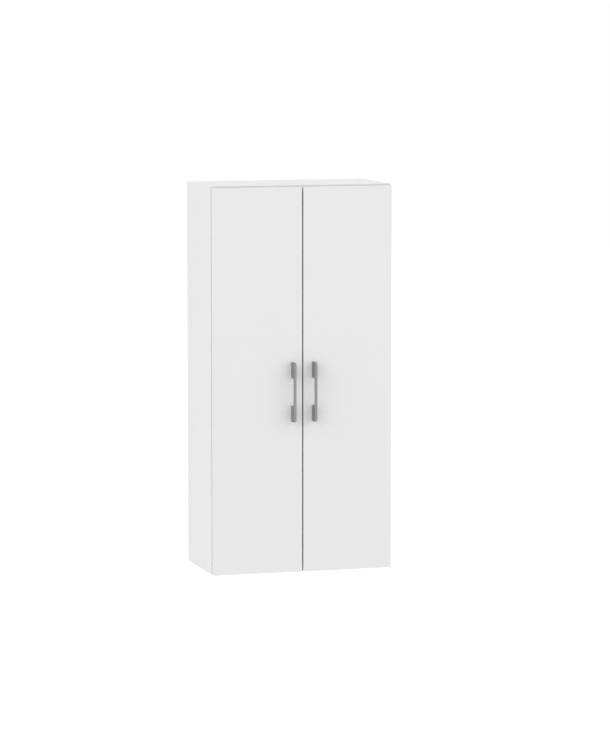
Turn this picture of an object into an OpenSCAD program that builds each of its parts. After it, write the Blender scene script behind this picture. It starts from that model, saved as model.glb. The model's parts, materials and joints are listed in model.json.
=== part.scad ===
// Tall two-door wall cabinet with concealed hinges, bow handles and a wall hanging rail.
// Origin: wall plane, middle of the width, underside. X right, Y to the wall, Z up.

/* [Carcass] */
// Overall width across the two side panels
cabinet_w = 600; // [580:5:700]
// Overall height of the side panels
cabinet_h = 1250; // [1230:5:1400]
// Depth of the carcass without its doors
carcass_d = 300; // [290:5:330]
// How far the front face of the back panel stands off the wall
back_front = 27; // [25:1:30]
// Thickness of the back panel
back_t = 8; // [6:1:8]

/* [Shelves] */
// Height of the lower shelf's pins
lower_pin_z = 289; // [257:32:321]
// Height of the middle shelf's pins
middle_pin_z = 577; // [545:32:577]
// Height of the upper shelf's pins
upper_pin_z = 865; // [833:32:929]
// Gap between a shelf and the side panels
shelf_gap = 1; // [0.5:0.5:2]

/* [Doors] */
// Gap between the two closed doors
centre_gap = 4.75; // [2:0.25:5]
// How far the door top stays below the carcass top
door_top_drop = 5; // [2:1:6]
// How far the door bottom stays above the carcass bottom
door_bottom_rise = 0; // [0:1:4]
// Rounding of the door's front edges
door_edge_r = 0.9; // [0.4:0.1:0.9]

/* [Hinges] */
// Height of the lowest hinge
hinge_low_z = 110; // [80:5:160]
// Height of the middle hinge
hinge_mid_z = 690; // [660:5:760]
// Height of the top hinge
hinge_top_z = 1110; // [1090:5:1120]

/* [Handles] */
// Overall length of a handle
handle_l = 192; // [180:2:220]
// Distance between a handle's two screws
handle_pitch = 160; // [150:2:160]
// How far a handle stands off the door
handle_out = 34; // [30:0.5:40]
// Width of a handle seen from the front
handle_w = 8.4; // [7:0.2:10]
// Thickness of the grip bar
grip_t = 6; // [5:0.5:8]
// Clear height of the finger opening
grip_open = 90; // [80:2:100]
// Height of the handle's middle above the underside
handle_z = 586.5; // [500:0.5:700]
// Distance of a handle's middle line from the cabinet's middle
handle_x = 35; // [30:1:60]

/* [Wall hanging] */
// Height of the rail's upper lip
rail_top_z = 1216; // [1214:1:1217]
// Distance between the rail's two wall screw holes
rail_screw_pitch = 400; // [300:10:440]
// Radius of the rail's wall screw holes
rail_hole_r = 4; // [3.5:0.5:5]

/* [Hidden] */
$fn = 64;
// Board, edging and joinery that the hinge geometry is cut for
board_t = 16;
strip_t = 1;
joint_gap = 0.05;
groove_d = 7;
door_gap = 2;
side_reveal = 1.5;
half_w = cabinet_w / 2;
inner_half = half_w - board_t;
top_z = cabinet_h - board_t;
back_rear = back_front - back_t;
row_front = 37;
row_rear = 37 + 192;
pin_step = 32;
// Door
door_x0 = -half_w + side_reveal;
door_x1 = -centre_gap / 2;
door_w = door_x1 - door_x0;
door_z0 = door_bottom_rise;
door_z1 = cabinet_h - door_top_drop;
door_back = -carcass_d - door_gap;
door_front = door_back - board_t;
// Hinge pivots as [in from the side panel's inner face, back from the carcass front]
arm_a = [13.022, -3.183];
arm_b = [23.959, 1.223];
cup_a = [-7.831, -10.996];
cup_b = [-5.578, -4.662];
cup_u = side_reveal - board_t + 20.5;
cup_r = 17.5;
cup_d = 12.4;
pocket_r = 16.8;
pocket_w = 11.6;
pocket_d = 11.6;
pin_a_r = 1.25;
pin_b_r = 1;
pivot_b_r = 1.5;
run = 0.05;
slot_back = 2.87;
slot_half = 1.48;
hinge_zs = [hinge_low_z, hinge_mid_z, hinge_top_z];
// Wall hanging
hook_x = -inner_half + 9.5;
hook_t = 3;
hanger_low = top_z - 68;
lift = 6;

white = [0.93, 0.93, 0.93];
edge_white = [0.96, 0.96, 0.96];
steel = [0.72, 0.72, 0.73];
zinc = [0.62, 0.63, 0.64];
satin = [0.55, 0.55, 0.55];
beech = [0.82, 0.68, 0.48];
plastic = [0.94, 0.94, 0.93];
clear_rubber = [0.85, 0.86, 0.86];

// ---------- helpers ----------

module xcyl(r, x0, x1) {
    translate([x0, 0, 0]) rotate([0, 90, 0]) cylinder(r = r, h = x1 - x0);
}

module ycyl(r, y0, y1) {
    translate([0, y0, 0]) rotate([-90, 0, 0]) cylinder(r = r, h = y1 - y0);
}

// A piece drawn in the hinge's own frame, repeated at the three hinges of the left door
module at_hinges() {
    for (z = hinge_zs) translate([-inner_half, -carcass_d, z]) children();
}

module both_sides() {
    children();
    mirror([1, 0, 0]) children();
}

// Straight bar of round-ended outline between two points, standing between two heights
module link_bar(p, q, r, z0, z1) {
    span = norm(q - p);
    turn = atan2(q[1] - p[1], q[0] - p[0]);
    translate([p[0], p[1], z0]) rotate([0, 0, turn]) {
        cylinder(r = r, h = z1 - z0);
        translate([0, -r, 0]) cube([span, 2 * r, z1 - z0]);
        translate([span, 0, 0]) cylinder(r = r, h = z1 - z0);
    }
}

// Rounded rectangle about the origin
module round_rect(w, h, r) {
    square([w - 2 * r, h], center = true);
    square([w, h - 2 * r], center = true);
    for (sx = [-1, 1], sz = [-1, 1]) {
        translate([sx * (w / 2 - r), sz * (h / 2 - r)]) circle(r);
    }
}

// ---------- carcass ----------

// Shelf pin holes: five in a row around each shelf, front row and rear row
module pin_holes() {
    for (zc = [lower_pin_z, middle_pin_z, upper_pin_z], k = [-2 : 2], row = [row_front, row_rear]) {
        translate([0, -carcass_d + row, zc + k * pin_step])
            xcyl(2.5, -inner_half - 12, -inner_half + 1);
    }
}

// Dowel and cam bolt places of one corner joint, as distances behind the front edge
dowel_rows = [70, carcass_d - 96];
cam_rows = [38, carcass_d - 64];

module side_blank() {
    difference() {
        translate([-half_w, -carcass_d + strip_t, 0])
            cube([board_t, carcass_d - strip_t, cabinet_h]);
        translate([-inner_half - groove_d, -back_front, 9])
            cube([groove_d + 1, back_t, cabinet_h - 18]);
        pin_holes();
        for (z = [board_t / 2, cabinet_h - board_t / 2]) {
            for (row = dowel_rows)
                translate([0, -carcass_d + row, z]) xcyl(4, -inner_half - 11, -inner_half + 1);
            for (row = cam_rows)
                translate([0, -carcass_d + row, z]) xcyl(2.5, -inner_half - 11, -inner_half + 1);
        }
        for (zh = hinge_zs, dz = [-16, 16])
            translate([0, -carcass_d + row_front, zh + dz])
                xcyl(2.5, -inner_half - 11, -inner_half + 1);
        for (y = hanger_peg_ys)
            translate([0, y, hanger_low + 9]) xcyl(5, -inner_half - 11, -inner_half + 1);
    }
}

module left_side() {
    color(white) side_blank();
}

module right_side() {
    color(white) mirror([1, 0, 0]) side_blank();
}

// Panel between the sides; its cams open on the face at zc + side_z * board_t / 2
module level_panel(zc, side_z) {
    difference() {
        translate([-inner_half, -carcass_d + strip_t, zc - board_t / 2])
            cube([2 * inner_half, carcass_d - strip_t, board_t]);
        translate([-inner_half - 1, -back_front, zc + (side_z > 0 ? 1 : -1 - groove_d)])
            cube([2 * inner_half + 2, back_t, groove_d]);
        both_sides() {
            for (row = dowel_rows)
                translate([0, -carcass_d + row, zc]) xcyl(4, -inner_half - 1, -inner_half + 20);
            for (row = cam_rows) translate([0, -carcass_d + row, zc]) {
                xcyl(4, -inner_half - 1, -inner_half + 34);
                translate([-inner_half + 34, 0, side_z > 0 ? -4.5 : -9]) cylinder(r = 7.5, h = 13.5);
            }
        }
    }
}

module top_panel() {
    color(white) level_panel(cabinet_h - board_t / 2, -1);
}

module bottom_panel() {
    color(white) level_panel(board_t / 2, 1);
}

module back_panel() {
    color(white) difference() {
        translate([-inner_half - groove_d, -back_front, 9])
            cube([2 * (inner_half + groove_d), back_t, cabinet_h - 18]);
        both_sides() translate([hook_x - 5, -back_front - 1, hanger_low + 12])
            cube([10, back_t + 2, 68 - 12]);
    }
}

// Front edging with softened corners, lying along a board's front edge
module edge_strip(length, wide) {
    r = 0.45;
    rotate([90, 0, 90]) linear_extrude(length) {
        translate([-strip_t + r, -wide / 2]) square([strip_t - r, wide]);
        translate([-strip_t, -wide / 2 + r]) square([strip_t, wide - 2 * r]);
        for (s = [-1, 1]) translate([-strip_t + r, s * (wide / 2 - r)]) circle(r);
    }
}

module carcass_edge_strips() {
    color(edge_white) {
        both_sides() translate([-half_w + board_t / 2, -carcass_d + strip_t, 0])
            rotate([0, -90, 0]) edge_strip(cabinet_h, board_t);
        for (z = [board_t / 2, cabinet_h - board_t / 2])
            translate([-inner_half + joint_gap, -carcass_d + strip_t, z])
                edge_strip(2 * (inner_half - joint_gap), board_t);
    }
}

// ---------- shelves ----------

shelf_front = carcass_d - 18;
shelf_back = back_front + 1;

module shelf(pin_z) {
    translate([-inner_half + shelf_gap, -shelf_front + strip_t, pin_z + 2.5])
        cube([2 * (inner_half - shelf_gap), shelf_front - strip_t - shelf_back, board_t]);
}

module lower_shelf() {
    color(white) shelf(lower_pin_z);
}

module middle_shelf() {
    color(white) shelf(middle_pin_z);
}

module upper_shelf() {
    color(white) shelf(upper_pin_z);
}

module shelf_edge_strips() {
    color(edge_white) for (z = [lower_pin_z, middle_pin_z, upper_pin_z])
        translate([-inner_half + shelf_gap, -shelf_front + strip_t, z + 2.5 + board_t / 2])
            edge_strip(2 * (inner_half - shelf_gap), board_t);
}

// Steel pin with a collar and a flat seat for the shelf
module shelf_pin() {
    xcyl(2.45, -inner_half - 9, -inner_half + 1);
    difference() {
        union() {
            xcyl(4, -inner_half, -inner_half + 1.5);
            xcyl(2.9, -inner_half, -inner_half + 8.5);
            translate([-inner_half, -3.4, 1]) cube([8.5, 6.8, 1.5]);
        }
        translate([-inner_half - 1, -5, 2.5]) cube([11, 10, 4]);
    }
}

module shelf_pins() {
    color(steel) both_sides()
        for (z = [lower_pin_z, middle_pin_z, upper_pin_z], row = [row_front, row_rear])
            translate([0, -carcass_d + row, z]) shelf_pin();
}

// ---------- knock-down fittings ----------

module dowels() {
    color(beech) both_sides()
        for (z = [board_t / 2, cabinet_h - board_t / 2], row = dowel_rows)
            translate([0, -carcass_d + row, z]) {
                xcyl(3.95, -inner_half - 10, -inner_half + 18);
                xcyl(3.2, -inner_half - 11, -inner_half + 19);
            }
}

module cam_bolts() {
    color(steel) both_sides()
        for (z = [board_t / 2, cabinet_h - board_t / 2], row = cam_rows)
            translate([0, -carcass_d + row, z]) {
                xcyl(2.45, -inner_half - 10.5, -inner_half);
                xcyl(3.6, -inner_half, -inner_half + 2);
                xcyl(2.2, -inner_half + 2, -inner_half + 28);
                xcyl(1.6, -inner_half + 28, -inner_half + 32);
                xcyl(3.2, -inner_half + 32, -inner_half + 35);
            }
}

// Cam with the bolt's path cut through it and a cross slot in its face
module cam_lock() {
    difference() {
        translate([0, 0, -4.5]) cylinder(r = 7.45, h = 12.2);
        xcyl(3.7, -8, 2);
        for (turn = [0, 90]) rotate([0, 0, turn])
            translate([-3.2, -0.6, 5.5]) cube([6.4, 1.2, 3]);
    }
}

module cam_locks() {
    color(zinc) both_sides() for (row = cam_rows) {
        translate([-inner_half + 34, -carcass_d + row, board_t / 2]) cam_lock();
        translate([-inner_half + 34, -carcass_d + row, cabinet_h - board_t / 2])
            mirror([0, 0, 1]) cam_lock();
    }
}

// ---------- doors ----------

handle_screw_zs = [handle_z - handle_pitch / 2, handle_z + handle_pitch / 2];

module door_blank() {
    difference() {
        translate([door_x0 + strip_t, door_front, door_z0 + strip_t])
            cube([door_w - 2 * strip_t, board_t, door_z1 - door_z0 - 2 * strip_t]);
        at_hinges() {
            translate([cup_u, 0, 0]) ycyl(cup_r, -door_gap - cup_d, -door_gap + 1);
            for (z = [-22.5, 22.5])
                translate([cup_u + 9.5, 0, z]) ycyl(1.5, -door_gap - 11, -door_gap + 1);
        }
        for (z = handle_screw_zs)
            translate([-handle_x, 0, z]) ycyl(2.25, door_front - 1, door_back + 1);
    }
}

module left_door() {
    color(white) door_blank();
}

module right_door() {
    color(white) mirror([1, 0, 0]) door_blank();
}

// Edging of a door: one strip with a rounded front corner, standing on its long side
module door_strip(length) {
    linear_extrude(length) intersection() {
        square([strip_t, board_t]);
        union() {
            translate([0, door_edge_r]) square([strip_t, board_t]);
            translate([door_edge_r, 0]) square([strip_t, board_t]);
            translate([door_edge_r, door_edge_r]) circle(door_edge_r);
        }
    }
}

module door_strip_ring() {
    door_h = door_z1 - door_z0;
    translate([door_x0, door_front, door_z0]) {
        door_strip(door_h);
        translate([door_w, 0, 0]) mirror([1, 0, 0]) door_strip(door_h);
        translate([strip_t + joint_gap, 0, 0]) rotate([0, 90, 0]) mirror([1, 0, 0])
            door_strip(door_w - 2 * (strip_t + joint_gap));
        translate([strip_t + joint_gap, 0, door_h]) rotate([0, 90, 0])
            door_strip(door_w - 2 * (strip_t + joint_gap));
    }
}

module left_door_strips() {
    color(edge_white) door_strip_ring();
}

module right_door_strips() {
    color(edge_white) mirror([1, 0, 0]) door_strip_ring();
}

// Soft stops on the back of a door, just clear of the carcass front edges
module bumpers_on() {
    for (z = [board_t / 2, door_z1 - 5]) translate([-22, 0, z]) {
        ycyl(4.5, door_back, door_back + 1.2);
        ycyl(3.8, door_back + 1.2, door_back + 1.9);
    }
}

module left_bumpers() {
    color(clear_rubber) bumpers_on();
}

module right_bumpers() {
    color(clear_rubber) mirror([1, 0, 0]) bumpers_on();
}

// ---------- handles ----------

// Side outline of the bow: a bar on two deep legs with rounded corners
module bow_outline() {
    outer_r = 5;
    inner_r = 3;
    open_d = handle_out - grip_t;
    difference() {
        union() {
            translate([-handle_out / 2, 0]) round_rect(handle_out, handle_l, outer_r);
            translate([-handle_out / 2, -handle_l / 2]) square([handle_out / 2, handle_l]);
        }
        translate([-open_d / 2, 0]) round_rect(open_d, grip_open, inner_r);
        translate([-open_d / 2, -grip_open / 2]) square([open_d, grip_open]);
    }
}

module handle_body() {
    edge_r = 1.2;
    translate([-handle_x, door_front, handle_z]) difference() {
        intersection() {
            rotate([90, 0, 90]) translate([0, 0, -handle_w / 2])
                linear_extrude(handle_w) bow_outline();
            translate([0, -handle_out / 2 + 2, -handle_l])
                linear_extrude(2 * handle_l) round_rect(handle_w, handle_out + 4, edge_r);
            rotate([90, 0, 0]) translate([0, 0, -1])
                linear_extrude(handle_out + 2) round_rect(handle_w, handle_l, edge_r);
        }
        for (z = [-handle_pitch / 2, handle_pitch / 2])
            translate([0, 0, z]) ycyl(2.05, -14, 1);
    }
}

module left_handle() {
    color(satin) handle_body();
}

module right_handle() {
    color(satin) mirror([1, 0, 0]) handle_body();
}

module handle_screws_on() {
    for (z = handle_screw_zs) translate([-handle_x, 0, z]) difference() {
        union() {
            ycyl(2, door_front - 10, door_back);
            ycyl(4, door_back, door_back + 2.4);
        }
        for (turn = [45, 135]) rotate([0, turn, 0])
            translate([-2.2, door_back + 1, -0.45]) cube([4.4, 2, 0.9]);
    }
}

module left_handle_screws() {
    color(steel) handle_screws_on();
}

module right_handle_screws() {
    color(steel) mirror([1, 0, 0]) handle_screws_on();
}

// ---------- concealed hinges ----------

// Cup with its screw wings, a pocket for the links and bores for the two cup pins
module hinge_cup() {
    difference() {
        union() {
            translate([cup_u, 0, 0]) ycyl(cup_r - 0.05, -door_gap - cup_d, -door_gap);
            translate([0, -door_gap, 0]) rotate([-90, 0, 0]) linear_extrude(1) {
                intersection() {
                    translate([cup_u, 0]) circle(18.6);
                    translate([-5, -20]) square([26.5, 40]);
                }
                translate([cup_u + 5, -22.5]) square([9, 45]);
                for (z = [-22.5, 22.5]) translate([cup_u + 9.5, z]) circle(4.5);
            }
        }
        intersection() {
            translate([cup_u, 0, 0]) ycyl(pocket_r, -door_gap - pocket_d, 1);
            translate([-20, -30, -pocket_w / 2]) cube([60, 40, pocket_w]);
        }
        translate([cup_a[0], cup_a[1], -8]) cylinder(r = pin_a_r + 0.01, h = 16);
        translate([cup_b[0], cup_b[1], -8]) cylinder(r = pin_b_r + 0.01, h = 16);
        for (z = [-22.5, 22.5])
            translate([cup_u + 9.5, 0, z]) ycyl(1.8, -door_gap - 1, 1);
    }
}

module cup_screw() {
    difference() {
        union() {
            ycyl(1.45, -door_gap - 10, -door_gap + 1);
            ycyl(3.2, -door_gap + 1, -door_gap + 1.7);
        }
        for (turn = [45, 135]) rotate([0, turn, 0])
            translate([-1.6, -door_gap + 0.5, -0.35]) cube([3.2, 2, 0.7]);
    }
}

// The long pin carries the inner link, the two short ones guide the outer link's slots
module cup_pin_set() {
    translate([cup_a[0], cup_a[1], -8]) cylinder(r = pin_a_r, h = 16);
    for (s = [-1, 1]) translate([cup_b[0], cup_b[1], s * 5.9 - 2.1])
        cylinder(r = pin_b_r, h = 4.2);
}

// Bowed strip that stays clear of the cup's rim, drawn from the points along its bow
function turned(v) = [-v[1], v[0]];

function bow_point(p, q, rise, f) =
    p + (q - p) * f + rise * 4 * f * (1 - f) * turned(q - p) / norm(q - p);

function bow_heading(p, q, rise, f) =
    (q - p) + rise * 4 * (1 - 2 * f) * turned(q - p) / norm(q - p);

function bow_edge(p, q, rise, r, f) =
    bow_point(p, q, rise, f)
    + r * turned(bow_heading(p, q, rise, f)) / norm(bow_heading(p, q, rise, f));

module bowed_strip(p, q, rise, r, z0, z1) {
    steps = 12;
    upper = [for (i = [0 : steps]) bow_edge(p, q, rise, r, i / steps)];
    lower = [for (i = [0 : steps]) bow_edge(p, q, rise, -r, 1 - i / steps)];
    translate([0, 0, z0]) linear_extrude(z1 - z0) polygon(concat(upper, lower));
}

module inner_link() {
    difference() {
        union() {
            bowed_strip(arm_a, cup_a, 4, 1.3, -3.4, 3.4);
            translate([cup_a[0], cup_a[1], -3.4]) cylinder(r = 2.15, h = 6.8);
            translate([arm_a[0], arm_a[1], -3.4]) cylinder(r = 2.6, h = 6.8);
        }
        translate([arm_a[0], arm_a[1], -2]) cylinder(r = 3.7, h = 4);
        translate([arm_a[0], arm_a[1], -4]) cylinder(r = pin_a_r + run, h = 8);
        translate([cup_a[0], cup_a[1], -4]) cylinder(r = pin_a_r + run, h = 8);
    }
}

// Outer link: a plate on each side, round eye at the arm, long eye at the cup
module outer_link_plate(z0, z1) {
    along = (cup_b - arm_b) / norm(cup_b - arm_b);
    slot_in = cup_b - along * slot_back;
    slot_out = cup_b + along * 0.1;
    difference() {
        union() {
            bowed_strip(arm_b, cup_b, 1.91, 1.4, z0, z1);
            link_bar(slot_in, slot_out, 2.4, z0, z1);
            translate([arm_b[0], arm_b[1], z0]) cylinder(r = 2.6, h = z1 - z0);
        }
        link_bar(slot_in, slot_out, slot_half, z0 - 1, z1 + 1);
        translate([arm_b[0], arm_b[1], z0 - 1]) cylinder(r = pivot_b_r + 0.01, h = z1 - z0 + 2);
    }
}

module outer_link_pair() {
    outer_link_plate(3.8, 5.2);
    outer_link_plate(-5.2, -3.8);
}

// Arm: a channel over the mounting plate with a tongue between the links
module hinge_arm() {
    difference() {
        union() {
            translate([12, 12, -8.4]) cube([1.8, 52, 16.8]);
            for (z = [-8.4, 6.4]) translate([5, 14, z]) cube([8.8, 48, 2]);
            translate([0, 0, -1.6]) linear_extrude(3.2) {
                translate(arm_a) circle(3);
                translate(arm_b) circle(2.8);
                polygon([
                    [arm_a[0] - 2, arm_a[1] + 1.5], [arm_a[0] + 1, arm_a[1] - 2.4],
                    [arm_b[0] - 3, arm_b[1] - 2.2], [arm_b[0] + 0.5, arm_b[1] - 2.3], [arm_b[0] + 2.4, arm_b[1] + 0.6],
                    [25.5, 9], [16, 34], [13, 34], [13, 13]]);
            }
        }
        translate([arm_a[0], arm_a[1], -4]) cylinder(r = pin_a_r + 0.01, h = 8);
        translate([arm_b[0], arm_b[1], -4]) cylinder(r = pivot_b_r + run, h = 8);
        for (v = [42, 56]) translate([0, v, 0]) xcyl(2.05, 11, 15);
    }
}

module mounting_plate() {
    difference() {
        union() {
            translate([0, 31, -26]) cube([2, 12, 52]);
            translate([0, 12, -6]) cube([12, 52, 12]);
        }
        for (z = [-16, 16]) translate([0, row_front, z]) xcyl(2.6, -1, 3);
        translate([0, 56, 0]) xcyl(2.05, 3.5, 13);
    }
}

module left_hinge_cups() {
    color(steel) at_hinges() hinge_cup();
}

module right_hinge_cups() {
    color(steel) mirror([1, 0, 0]) at_hinges() hinge_cup();
}

module cup_screws_on() {
    at_hinges() for (z = [-22.5, 22.5]) translate([cup_u + 9.5, 0, z]) cup_screw();
}

module left_cup_screws() {
    color(steel) cup_screws_on();
}

module right_cup_screws() {
    color(steel) mirror([1, 0, 0]) cup_screws_on();
}

module left_cup_pins() {
    color(steel) at_hinges() cup_pin_set();
}

module right_cup_pins() {
    color(steel) mirror([1, 0, 0]) at_hinges() cup_pin_set();
}

module left_inner_links() {
    color(steel) at_hinges() inner_link();
}

module right_inner_links() {
    color(steel) mirror([1, 0, 0]) at_hinges() inner_link();
}

module left_outer_links() {
    color(steel) at_hinges() outer_link_pair();
}

module right_outer_links() {
    color(steel) mirror([1, 0, 0]) at_hinges() outer_link_pair();
}

module link_pin() {
    translate([arm_b[0], arm_b[1], -5.2]) cylinder(r = pivot_b_r, h = 10.4);
}

module left_link_pins() {
    color(steel) at_hinges() link_pin();
}

module right_link_pins() {
    color(steel) mirror([1, 0, 0]) at_hinges() link_pin();
}

module left_hinge_arms() {
    color(zinc) at_hinges() hinge_arm();
}

module right_hinge_arms() {
    color(zinc) mirror([1, 0, 0]) at_hinges() hinge_arm();
}

module left_mounting_plates() {
    color(zinc) at_hinges() mounting_plate();
}

module right_mounting_plates() {
    color(zinc) mirror([1, 0, 0]) at_hinges() mounting_plate();
}

module arm_pins() {
    color(steel) both_sides() at_hinges()
        translate([arm_a[0], arm_a[1], -3.4]) cylinder(r = pin_a_r, h = 6.8);
}

// Fixing screw behind, adjusting screw in front of it, both driven from the room side
module arm_screws() {
    color(steel) both_sides() at_hinges() {
        translate([0, 56, 0]) difference() {
            union() {
                xcyl(2, 4, 13.8);
                xcyl(3.8, 13.8, 16);
            }
            for (turn = [45, 135]) rotate([turn, 0, 0])
                translate([14.8, -2, -0.45]) cube([2, 4, 0.9]);
        }
        translate([0, 42, 0]) difference() {
            xcyl(2, 12, 15.5);
            translate([14.3, -2.5, -0.4]) cube([2, 5, 0.8]);
        }
    }
}

module plate_screws() {
    color(steel) both_sides() at_hinges() for (z = [-16, 16]) translate([0, row_front, z])
        difference() {
            union() {
                xcyl(2.45, -10.5, 2);
                xcyl(3.8, 2, 3.8);
            }
            for (turn = [45, 135]) rotate([turn, 0, 0])
                translate([2.8, -2, -0.45]) cube([2, 4, 0.9]);
        }
}

// ---------- wall hanging ----------

hanger_front = -75;
hanger_w = 20;
hanger_peg_ys = [-64, -38];
hanger_screw_zs = [hanger_low + 28, hanger_low + 52];

// Housing in the upper rear corner: pegged to the side, open behind for the hook
module hanger_body() {
    difference() {
        union() {
            translate([-inner_half, hanger_front, hanger_low])
                cube([hanger_w, -hanger_front - back_front, 68]);
            for (y = hanger_peg_ys)
                translate([0, y, hanger_low + 9]) xcyl(4.95, -inner_half - 10.5, -inner_half + 1);
        }
        translate([hook_x - 3.5, hanger_front + 13, hanger_low + 18])
            cube([7, 60, 60]);
        for (y = hanger_peg_ys)
            translate([0, y, hanger_low + 9]) {
                xcyl(1.95, -inner_half - 12, -inner_half + hanger_w);
                xcyl(3.7, -inner_half + hanger_w - 2, -inner_half + hanger_w + 1);
            }
        for (z = hanger_screw_zs)
            translate([hook_x, 0, z]) ycyl(2.55, hanger_front - 1, hanger_front + 11);
    }
}

module left_hanger() {
    color(plastic) hanger_body();
}

module right_hanger() {
    color(plastic) mirror([1, 0, 0]) hanger_body();
}

module hanger_cover() {
    wall = 1.4;
    difference() {
        translate([-inner_half, hanger_front - 3.4, hanger_low - wall])
            cube([hanger_w + wall, -hanger_front + 3.4 - back_front, 68 + wall]);
        translate([-inner_half - 1, hanger_front - 2, hanger_low])
            cube([hanger_w + 1, 80, 70]);
    }
}

module left_hanger_cover() {
    color(plastic) hanger_cover();
}

module right_hanger_cover() {
    color(plastic) mirror([1, 0, 0]) hanger_cover();
}

module hanger_screws() {
    color(steel) both_sides() for (y = hanger_peg_ys) translate([0, y, hanger_low + 9])
        difference() {
            union() {
                xcyl(1.9, -inner_half - 10, -inner_half + hanger_w - 2);
                xcyl(3.6, -inner_half + hanger_w - 2, -inner_half + hanger_w);
            }
            for (turn = [45, 135]) rotate([turn, 0, 0])
                translate([-inner_half + hanger_w - 0.9, -2, -0.4]) cube([2, 4, 0.8]);
        }
}

module adjusting_screws() {
    color(steel) both_sides() for (z = hanger_screw_zs) translate([hook_x, 0, z])
        difference() {
            union() {
                ycyl(2.5, hanger_front, hanger_front + 10);
                ycyl(4, hanger_front - 1.6, hanger_front);
            }
            for (turn = [0, 90]) rotate([0, turn, 0])
                translate([-2.4, hanger_front - 2, -0.5]) cube([4.8, 1.2, 1]);
        }
}

// Flat steel hook: body in the housing, claw down behind the rail's lip
module hook_plate() {
    translate([hook_x - hook_t / 2, 0, rail_top_z]) rotate([90, 0, 90]) linear_extrude(hook_t)
        difference() {
            polygon([[-58, -20], [-54, -24], [-36, -24], [-12, 0], [-5.4, 0],
                [-5.4, -8.5], [-4.4, -9.5], [-2.5, -9.5], [-1.5, -8.5], [-1.5, 6.5],
                [-3, 8], [-34, 8], [-40, 10], [-54, 10], [-58, 6]]);
            translate([-47, -7]) circle(4);
        }
}

module left_hook() {
    color(steel) hook_plate();
}

module right_hook() {
    color(steel) mirror([1, 0, 0]) hook_plate();
}

// Steel strip: flat foot on the wall, upper lip stepped clear of it
module wall_rail() {
    rail_half = inner_half - 4;
    color(steel) difference() {
        translate([-rail_half, 0, rail_top_z]) rotate([90, 0, 90])
            linear_extrude(2 * rail_half) polygon([
                [0, -42], [0, -17.2], [-6, -11.2], [-6, 0], [-8, 0], [-8, -12], [-2, -18], [-2, -42]]);
        for (x = [-rail_screw_pitch / 2, rail_screw_pitch / 2])
            translate([x, 0, rail_top_z - 30]) ycyl(rail_hole_r, -3, 1);
        for (x = [-100, 0, 100]) translate([x, 0, rail_top_z - 30]) {
            translate([-6, -3, -2.5]) cube([12, 4, 5]);
            for (s = [-6, 6]) translate([s, 0, 0]) ycyl(2.5, -3, 1);
        }
    }
}

left_side();
right_side();
top_panel();
bottom_panel();
back_panel();
carcass_edge_strips();
lower_shelf();
middle_shelf();
upper_shelf();
shelf_edge_strips();
shelf_pins();
dowels();
cam_bolts();
cam_locks();
left_door();
left_door_strips();
left_handle();
left_handle_screws();
left_bumpers();
right_door();
right_door_strips();
right_handle();
right_handle_screws();
right_bumpers();
left_hinge_cups();
left_cup_screws();
left_cup_pins();
left_inner_links();
left_outer_links();
left_link_pins();
left_hinge_arms();
left_mounting_plates();
right_hinge_cups();
right_cup_screws();
right_cup_pins();
right_inner_links();
right_outer_links();
right_link_pins();
right_hinge_arms();
right_mounting_plates();
arm_pins();
arm_screws();
plate_screws();
left_hanger();
right_hanger();
left_hanger_cover();
right_hanger_cover();
hanger_screws();
adjusting_screws();
left_hook();
right_hook();
wall_rail();
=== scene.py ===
"""Dresses the tall two-door wall cabinet: boards, edging, handles, hinges, rail and stage."""
import json
import math

import bmesh
import bpy
from mathutils import Matrix, Vector


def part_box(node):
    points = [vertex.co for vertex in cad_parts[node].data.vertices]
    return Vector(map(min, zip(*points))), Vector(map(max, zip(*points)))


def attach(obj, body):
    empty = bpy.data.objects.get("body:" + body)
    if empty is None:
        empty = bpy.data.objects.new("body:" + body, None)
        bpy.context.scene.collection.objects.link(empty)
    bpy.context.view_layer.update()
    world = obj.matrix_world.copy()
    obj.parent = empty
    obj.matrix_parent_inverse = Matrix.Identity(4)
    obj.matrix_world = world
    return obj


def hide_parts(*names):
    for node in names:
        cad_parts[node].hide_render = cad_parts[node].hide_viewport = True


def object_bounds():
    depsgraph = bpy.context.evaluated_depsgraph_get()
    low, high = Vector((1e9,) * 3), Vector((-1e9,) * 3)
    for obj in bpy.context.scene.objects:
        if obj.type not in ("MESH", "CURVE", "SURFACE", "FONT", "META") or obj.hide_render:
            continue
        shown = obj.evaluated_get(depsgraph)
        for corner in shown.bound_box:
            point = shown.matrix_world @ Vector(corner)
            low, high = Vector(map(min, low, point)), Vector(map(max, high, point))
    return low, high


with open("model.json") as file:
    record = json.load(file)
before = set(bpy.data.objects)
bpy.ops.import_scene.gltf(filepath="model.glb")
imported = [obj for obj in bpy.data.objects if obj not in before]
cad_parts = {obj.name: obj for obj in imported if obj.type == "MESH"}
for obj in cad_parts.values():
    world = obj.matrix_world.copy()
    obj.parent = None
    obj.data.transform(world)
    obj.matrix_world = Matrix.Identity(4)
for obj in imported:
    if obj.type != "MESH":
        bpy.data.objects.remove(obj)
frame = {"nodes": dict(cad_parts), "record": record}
CAD_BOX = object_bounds()

bl_info = {
    "name": "Hanging wall cabinet",
    "version": (1, 0, 0),
    "blender": (4, 5, 0),
    "location": "3D View > Sidebar > Wall Cabinet",
    "description": "Finishes a tall hanging cabinet with doors, bow handles and concealed hinges",
    "category": "Object",
}

MM = 0.001
CARCASS = "carcass"
SIDES = ("left", "right")
TINY = 0.001 * MM  # points closer than this are one point

# boards: how far their facing reaches before raw chipboard starts
REAR_FACE = 0.2 * MM
BOARD_RIM = 3 * MM

# handles
INNER_CORNER = 3 * MM
OPENING_MARGIN = 0.3 * MM  # the recorded opening ends this far inside the finger gap

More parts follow.
